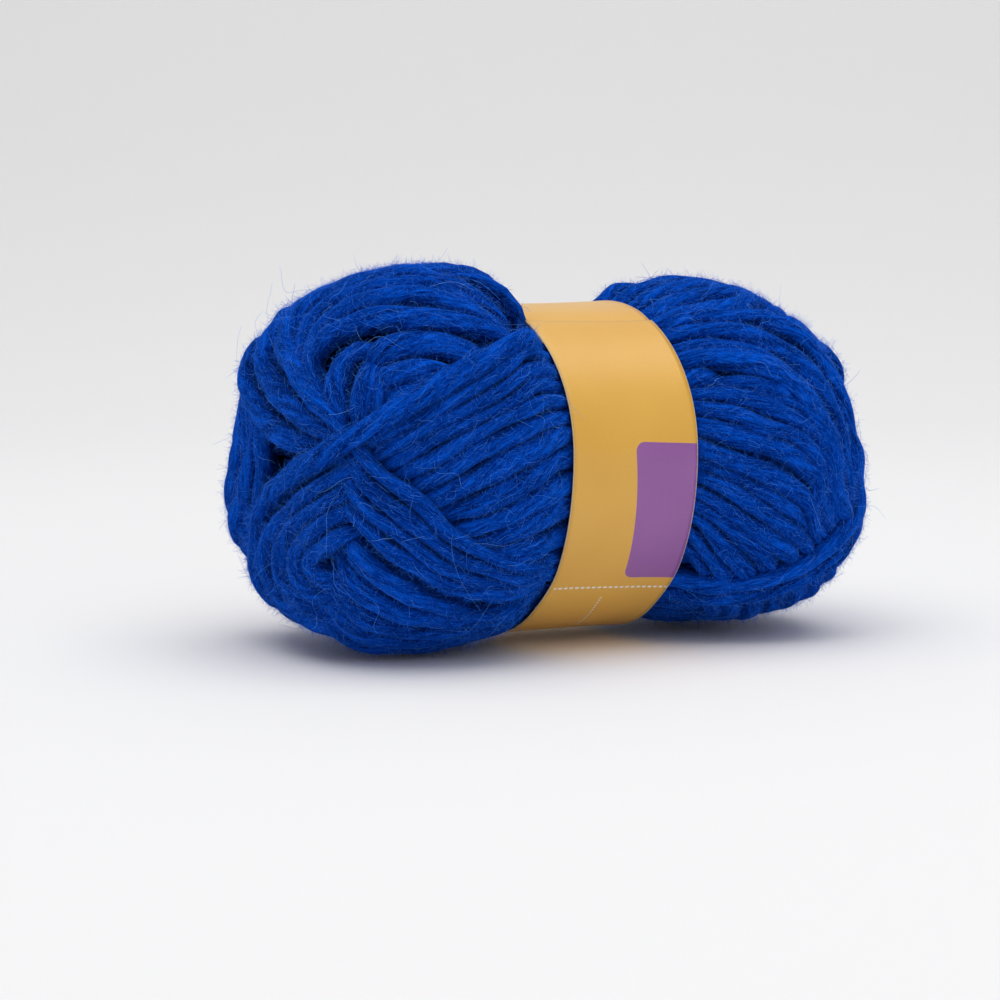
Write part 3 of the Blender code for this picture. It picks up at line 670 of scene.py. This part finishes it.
def make_band(finish):
    """The paper band: a strip wound once round the waist, its outer end lapped over its
    inner one. Its two faces lie a paper's thickness apart and meet along its edges."""
    arc, table = band_ring()
    run, w = np.meshgrid(np.linspace(0.0, SHEET_LONG, STRIP_ROWS + 1),
                         np.linspace(-1.0, 1.0, STRIP_COLUMNS + 1), indexing="ij")
    a = np.interp((LAP_AT + run + ASKEW * BAND_HALF * w) % BAND_GIRTH, arc, table)
    # The outer end lies on top for the first millimetres; the far end slides beneath it.
    under = smooth(run, BAND_GIRTH - LAP_SLIDE, BAND_GIRTH + 0.5) * (BAND_THICK + LAP_GAP)
    buckle = np.sin(run / 9.0 + 1.3 * w) * np.sin(run / 23.0 + 0.6) * (0.4 + 0.6 * w ** 2)
    lift = BUCKLE * buckle + FLARE * np.abs(w) ** 3
    x = BAND_HALF * w + band_aside(a) + EDGE_WAVE * np.sin(run / 17.0 + 0.8)
    faces = []
    for let_in in (0.0, BAND_THICK):
        r = waist_radius(a) + BAND_OFF - under + lift - let_in
        face = np.stack((x, r * np.cos(a), WAIST_AXIS + r * np.sin(a)), axis=2)
        faces.append(face.reshape(-1, 3))
    at = np.arange(run.size).reshape(run.shape)
    back = at + run.size
    quad = lambda p, q, r, s: np.stack((p, q, r, s), axis=-1).reshape(-1, 4)
    top = quad(at[:-1, :-1], at[:-1, 1:], at[1:, 1:], at[1:, :-1])
    low = quad(back[:-1, :-1], back[1:, :-1], back[1:, 1:], back[:-1, 1:])
    rims = (quad(at[:-1, 0], at[1:, 0], back[1:, 0], back[:-1, 0]),
            quad(at[1:, -1], at[:-1, -1], back[:-1, -1], back[1:, -1]),
            quad(at[0, 1:], at[0, :-1], back[0, :-1], back[0, 1:]),
            quad(at[-1, :-1], at[-1, 1:], back[-1, 1:], back[-1, :-1]))
    quads = np.concatenate((top, low) + rims)
    place = np.stack((BAND_HALF * w, run), axis=2).reshape(-1, 2)
    uv = np.concatenate((place, place))[quads]
    return add_mesh("paper_band_sheet", np.concatenate(faces), (quads,), finish, uv=(uv,))


# ---- materials
def linear(hex_colour):
    """Linear colour of an sRGB hex value."""
    parts = [int(hex_colour[i:i + 2], 16) / 255.0 for i in (1, 3, 5)]
    flat = [c / 12.92 if c <= 0.04045 else ((c + 0.055) / 1.055) ** 2.4 for c in parts]
    return (*flat, 1.0)


def add_node(tree, kind, inputs=(), stops=(), **settings):
    """Adds a shader node: settings are its own properties, stops a colour ramp's places
    and colours, and inputs its sockets by name or number, each set to a value or joined
    to another node's output."""
    made = tree.nodes.new("ShaderNode" + kind)
    for key, value in settings.items():
        setattr(made, key, value)
    for n, (place, colour) in enumerate(stops):
        line = made.color_ramp.elements
        element = line[n] if n < len(line) else line.new(place)
        element.position, element.color = place, linear(colour)
    for key, value in dict(inputs).items():
        if isinstance(value, bpy.types.Node):
            value = value.outputs[0]
        if isinstance(value, bpy.types.NodeSocket):
            tree.links.new(value, made.inputs[key])
        else:
            made.inputs[key].default_value = value
    return made


def new_finish(name):
    finish = bpy.data.materials.new(name)
    finish.use_nodes = True
    finish.node_tree.nodes.clear()
    return finish, finish.node_tree


def roving_finish():
    """Dyed wool roving: combed, hardly twisted fibre. Soft locks and fine streaks lie a
    little askew along each turn, single hairs cross them, nothing shines, and a faint
    bloom of hair pales the edges."""
    finish, tree = new_finish("dyed_wool_roving")
    place = add_node(tree, "UVMap", uv_map="surface_mm")
    # The tone attribute holds each turn's random tone and the painted shade down its sides.
    tone = add_node(tree, "Attribute", attribute_name="tone").outputs["Fac"]
    # Length and width in millimetres, lie in degrees and detail: locks of fibre, streaks,
    # and two lays of single hairs, drawn as coarse as they have to be to show.
    fields = []
    for long, across, lie, detail in ((14.0, 1.3, 0.0, 1.0), (2.6, 0.34, 6.0, 3.0),
                                      (1.7, 0.16, 32.0, 1.0), (1.5, 0.15, -24.0, 1.0)):
        laid = add_node(tree, "Mapping", {
            "Vector": place, "Rotation": (0.0, 0.0, math.radians(lie)),
            "Scale": (long, across, 1.0)}, vector_type="TEXTURE")
        fields.append(add_node(tree, "TexNoise", {
            "Vector": laid, "Scale": 1.0, "Detail": detail, "Roughness": 0.6, "Distortion": 0.4}))
    locks, streaks, *hairs = fields
    blend = 0.0
    for field, share in ((locks, 0.50), (streaks, 0.70), (tone, 0.035)):
        blend = add_node(tree, "Math", {0: field, 1: share, 2: blend}, operation="MULTIPLY_ADD")
    colour = add_node(tree, "ValToRGB", {"Fac": blend}, stops=(
        (0.30, "#00092C"), (0.45, "#001C62"), (0.60, "#003698"), (0.77, "#0456D2")))
    hairs = add_node(tree, "Math", {0: hairs[0], 1: hairs[1]}, operation="MAXIMUM")
    pale = add_node(tree, "MapRange", {
        "Value": hairs, "From Min": 0.58, "From Max": 0.72, "To Max": 0.40})
    colour = add_node(tree, "Mix", {0: pale, 6: colour, 7: linear("#2E70E0")}, data_type="RGBA")
    relief = locks
    for field in (streaks, pale):
        relief = add_node(tree, "Math", {0: field, 1: 0.5, 2: relief}, operation="MULTIPLY_ADD")
    bump = add_node(tree, "Bump", {"Strength": 0.7, "Distance": 0.35 * MM, "Height": relief})
    shader = add_node(tree, "BsdfPrincipled", {
        "Base Color": colour.outputs[2], "Roughness": 1.0, "Specular IOR Level": 0.0,
        "Sheen Weight": 0.5, "Sheen Roughness": 0.40, "Sheen Tint": linear("#2E7CFA"),
        "Normal": bump})
    add_node(tree, "OutputMaterial", {"Surface": shader})
    return finish


def core_finish():
    """Wool far inside the skein: the same dye, its colour painted much darker as shade, since
    hardly any light reaches it.
    """
    finish, tree = new_finish("wool_core_painted_shade")
    place = add_node(tree, "TexCoord").outputs["Object"]
    grain = add_node(tree, "TexNoise", {"Vector": place, "Scale": 1.0 / (1.2 * MM), "Detail": 3.0})
    colour = add_node(tree, "ValToRGB", {"Fac": grain}, stops=((0.3, "#000B28"), (0.7, "#001A55")))
    bump = add_node(tree, "Bump", {"Strength": 0.6, "Distance": 0.4 * MM, "Height": grain})
    shader = add_node(tree, "BsdfPrincipled", {
        "Base Color": colour, "Roughness": 1.0, "Specular IOR Level": 0.0, "Normal": bump})
    add_node(tree, "OutputMaterial", {"Surface": shader})
    return finish


def fibre_finish(name, dark, light):
    """Single loose wool fibres: their scales catch a little light along each one."""
    finish, tree = new_finish(name)
    tone = add_node(tree, "Attribute", attribute_name="tone").outputs["Fac"]
    at = add_node(tree, "Math", {0: tone, 1: 0.25, 2: 0.5}, operation="MULTIPLY_ADD")
    colour = add_node(tree, "ValToRGB", {"Fac": at}, stops=((0.1, dark), (0.9, light)))
    shader = add_node(tree, "BsdfPrincipled", {
        "Base Color": colour, "Roughness": 0.7, "Specular IOR Level": 0.05,
        "Specular Tint": linear("#7FA4F0")})
    add_node(tree, "OutputMaterial", {"Surface": shader})
    return finish


# The band's print in millimetres, x across it and y along it from its outer end.
PANEL = ((14.2, 48.4), (12.0, 15.5), 2.2)  # middle, half sizes, corner radius
RULES = (  # across or along, its place, half its width, pitch, dash share, middle, half length
    (True, 66.8, 0.25, 1.37, 0.62, 0.5, 13.9),
    (False, -0.4, 0.2, 1.0, 0.55, 77.6, 7.4),
)


def paper_finish():
    """Coated label paper, offset printed: a golden tint with a plain violet panel and white rules,
    a soft gloss, and pale cut edges, partly bare white stock and partly a painted highlight."""
    finish, tree = new_finish("coated_paper_print")
    place = add_node(tree, "UVMap", uv_map="surface_mm")
    split = add_node(tree, "SeparateXYZ", {"Vector": place})
    edge_x, y = split.outputs[0], split.outputs[1]
    # The print leans with the paper's ends, so its x shifts along the strip.
    x = add_node(tree, "Math", {0: y, 1: -ASKEW, 2: edge_x}, operation="MULTIPLY_ADD")
    x = add_node(tree, "Math", {0: x, 1: ASKEW * RULES[0][1]}, operation="ADD")
    print_place = add_node(tree, "CombineXYZ", {0: x, 1: y})
    # Paper fibres and uneven coating, 0.5 mm and 18 mm.
    fine = add_node(tree, "TexNoise", {"Vector": place, "Scale": 1 / 0.5, "Detail": 3.0})
    broad = add_node(tree, "TexNoise", {"Vector": place, "Scale": 1 / 18.0, "Detail": 1.0})
    blend = add_node(tree, "Mix", {0: 0.35, 2: broad, 3: fine})
    ground, ink = (add_node(tree, "ValToRGB", {"Fac": blend}, stops=((0.35, a), (0.65, b)))
                   for a, b in (("#DFA634", "#E5AE3B"), ("#8C4C98", "#9556A1")))
    # The violet panel is a box with rounded corners: how far a point lies outside the
    # box let in by the corner radius, against that radius.
    middle, half, corner = PANEL
    let_in = (half[0] - corner, half[1] - corner, 0.0)
    out, zero = print_place, (0.0, 0.0, 0.0)
    for step, by in (("SUBTRACT", (*middle, 0.0)), ("ABSOLUTE", zero), ("SUBTRACT", let_in),
                     ("MAXIMUM", zero), ("LENGTH", zero)):
        out = add_node(tree, "VectorMath", {0: out, 1: by}, operation=step)
    panel = add_node(tree, "MapRange", {"Value": out.outputs["Value"],
                                        "From Min": corner + 0.05, "From Max": corner - 0.05})
    colour = add_node(tree, "Mix", {0: panel, 6: ground, 7: ink}, data_type="RGBA")
    for across, at, thick, pitch, dash, centre, reach in RULES:
        line, run = (y, x) if across else (x, y)
        line = add_node(tree, "Math", {0: line, 1: at, 2: thick}, operation="COMPARE")
        within = add_node(tree, "Math", {0: run, 1: centre, 2: reach}, operation="COMPARE")
        rule = run
        for step, by in (("MULTIPLY", 1.0 / pitch), ("FRACT", 0.0), ("LESS_THAN", dash),
                         ("MULTIPLY", line), ("MULTIPLY", within)):
            rule = add_node(tree, "Math", {0: rule, 1: by}, operation=step)
        colour = add_node(tree, "Mix", {0: rule, 6: colour.outputs[2], 7: linear("#F1EFEA")},
                          data_type="RGBA")
    # Paler along the cut edges: bare stock where the ink has cracked off, and a painted highlight
    # where the paper's edge catches the light.
    edge = add_node(tree, "Math", {0: edge_x}, operation="ABSOLUTE")
    edge = add_node(tree, "Math", {0: fine, 1: 0.35, 2: edge}, operation="MULTIPLY_ADD")
    stock_and_highlight = add_node(tree, "MapRange", {"Value": edge, "From Min": BAND_HALF - 0.05,
                                       "From Max": BAND_HALF + 0.1, "To Max": 0.7})
    colour = add_node(tree, "Mix", {0: stock_and_highlight, 6: colour.outputs[2], 7: linear("#F3DFB4")},
                      data_type="RGBA")
    bump = add_node(tree, "Bump", {"Strength": 0.12, "Distance": 0.05 * MM, "Height": fine})
    shader = add_node(tree, "BsdfPrincipled", {
        "Base Color": colour.outputs[2], "Roughness": 0.42, "Specular IOR Level": 0.6,
        "Coat Weight": 0.5, "Coat Roughness": 0.35, "Normal": bump})
    add_node(tree, "OutputMaterial", {"Surface": shader})
    return finish


# ---- make the skein
roving = roving_finish()
fibre = fibre_finish("loose_wool_fibre", "#0C56DC", "#5298FF")
stray_fibre = fibre_finish("stray_wool_fibre", "#4A98FF", "#7CB6FF")

near, far, under = Turns(), Turns(), Turns()
for n, name in enumerate(NEAR):
    lay_course(near, name, False, SEED + 1000 * n)
for n, name in enumerate(FAR):
    lay_course(far, name, True, SEED + 500 + 1000 * n)
lay_underwrap(under, SEED + 77)

core = make_core(core_finish())
near_turns = near.piece("wool_turns_near", roving)
far_turns = far.piece("wool_turns_far", roving)
under_turns = under.piece("wool_turns_under", roving)
band = make_band(paper_finish())

seen = [np.concatenate(near.points + far.points), np.concatenate(near.ways + far.ways),
        np.concatenate(near.outs + far.outs)]
show = bare_points(seen[0])
show &= (np.abs(seen[0][:, 0]) > BAND_HALF + 0.4) & (seen[0][:, 2] > 1.0)
seats = [part[show] for part in seen]
# name, finish, count, lengths, rises, askew, share that stands, segments, thickness
FIBRES = (
    ("wool_fibres_lying", fibre, 3500, (2.5, 8.0), (0.03, 0.32), 0.38, 0.0, 5, 0.030),
    ("wool_fibres_standing_a", fibre, 12500, (1.2, 4.0), (0.10, 0.75), 1.0, 0.75, 2, 0.024),
    ("wool_fibres_standing_b", fibre, 24000, (0.9, 2.8), (0.08, 0.60), 1.5, 0.80, 1, 0.033),
    ("wool_fibres_standing_c", fibre, 22000, (0.7, 2.4), (0.05, 0.45), 1.5, 0.80, 1, 0.033),
    ("wool_fibres_stray", stray_fibre, 260, (4.0, 15.0), (0.2, 0.9), 1.1, 0.12, 14, 0.026),
)
fibres = [make_fibres(seats, SEED + 1 + n, *row) for n, row in enumerate(FIBRES)]

for piece in [core, near_turns, far_turns, under_turns] + fibres:
    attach(piece, "root")
    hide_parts("wool")
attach(band, "root")
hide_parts("paper_band")


# ---- the stage
def backdrop_finish():
    """Matt seamless background paper with its faint tooth, 0.6 mm. Its colour is painted a little
    greyer up the wall, as shade where less light reaches it."""
    finish, tree = new_finish("background_paper")
    place = add_node(tree, "TexCoord").outputs["Object"]
    tooth = add_node(tree, "TexNoise", {"Vector": place, "Scale": 1.0 / (0.6 * MM), "Detail": 2.0})
    bump = add_node(tree, "Bump", {"Strength": 0.05, "Distance": 0.05 * MM, "Height": tooth})
    wall_shade = add_node(tree, "Attribute", attribute_name="tone").outputs["Fac"]
    colour = add_node(tree, "ValToRGB", {"Fac": wall_shade}, stops=((0.0, "#F4F4F5"), (1.0, "#E9E8E9")))
    shader = add_node(tree, "BsdfPrincipled", {
        "Base Color": colour, "Roughness": 0.9, "Specular IOR Level": 0.2, "Normal": bump})
    add_node(tree, "OutputMaterial", {"Surface": shader})
    return finish


CAMERA_TURN, CAMERA_DOWN = math.radians(28.0), math.radians(5.3)
CAMERA_FAR, CAMERA_AIM = 750.0, 40.0  # its distance, and the height that it looks at
SWEEP_START, SWEEP_ROUND = 520.0, 420.0  # where the floor bends up, and how gently
SWEEP_SHADE_TO = 880.0  # from its bend to here painted shade makes the paper greyer
SWEEP_REACH, SWEEP_TOP = 3200.0, 2600.0


def make_sweep():
    """Seamless background, turned to face the camera: a flat floor, a quarter circle of
    SWEEP_ROUND behind it and a wall."""
    turn = np.linspace(0.0, math.pi / 2.0, 24)
    y = np.concatenate(((-SWEEP_REACH,), SWEEP_START + SWEEP_ROUND * np.sin(turn),
                        (SWEEP_START + SWEEP_ROUND,)))[:, None]
    z = np.concatenate(((0.0,), SWEEP_ROUND * (1.0 - np.cos(turn)), (SWEEP_TOP,)))[:, None]
    x = np.array(((-SWEEP_REACH, SWEEP_REACH),))
    c, s = math.cos(CAMERA_TURN), math.sin(CAMERA_TURN)
    points = np.stack((x * c + y * s, y * c - x * s, z + 0.0 * x), axis=2).reshape(-1, 3)
    k = np.arange(len(y) - 1) * 2
    # The sweep's tone is painted shade: 0 up to its bend, rising to 1 up the wall.
    return add_mesh("stage_sweep", points, (np.stack((k, k + 1, k + 3, k + 2), axis=1),),
                    backdrop_finish(), tone=np.repeat(smooth(y, SWEEP_START, SWEEP_SHADE_TO), 2))


make_sweep()

ahead = Vector((math.sin(CAMERA_TURN) * math.cos(CAMERA_DOWN),
                math.cos(CAMERA_TURN) * math.cos(CAMERA_DOWN), -math.sin(CAMERA_DOWN)))
aim = Vector((WAIST[0], WAIST[1], CAMERA_AIM))
lens = bpy.data.cameras.new("camera")
lens.lens, lens.sensor_width = 125.8, 36.0
lens.shift_x, lens.shift_y = -0.0525, -0.0485
lens.clip_start, lens.clip_end = 0.01, 20.0
camera = bpy.data.objects.new("camera", lens)
camera.location = (aim - ahead * CAMERA_FAR) * MM
camera.rotation_euler = ahead.to_track_quat("-Z", "Y").to_euler()
bpy.context.scene.collection.objects.link(camera)
bpy.context.scene.camera = camera


def add_light(name, place, aim_at, wide, long, watts):
    """A soft box: a flat white lamp wide x long metres at place, turned to aim_at."""
    lamp = bpy.data.lights.new(name, "AREA")
    lamp.shape, lamp.size, lamp.size_y = "RECTANGLE", wide, long
    lamp.energy = watts
    box = bpy.data.objects.new(name, lamp)
    box.location = place
    box.rotation_euler = (Vector(aim_at) - Vector(place)).to_track_quat("-Z", "Y").to_euler()
    bpy.context.scene.collection.objects.link(box)


add_light("soft_box_over", (-0.05, -0.12, 1.10), (0.0, -0.02, 0.0), 1.5, 1.4, 10.7)
add_light("soft_box_front", (0.05, -1.25, 0.70), (0.0, 0.0, 0.03), 1.5, 0.9, 2.4)

world = bpy.data.worlds.new("studio")
world.use_nodes = True
sky = world.node_tree.nodes["Background"].inputs
sky["Color"].default_value, sky["Strength"].default_value = linear("#F3F3F3"), 0.44
bpy.context.scene.world = world
bpy.context.scene.view_settings.view_transform = "Standard"
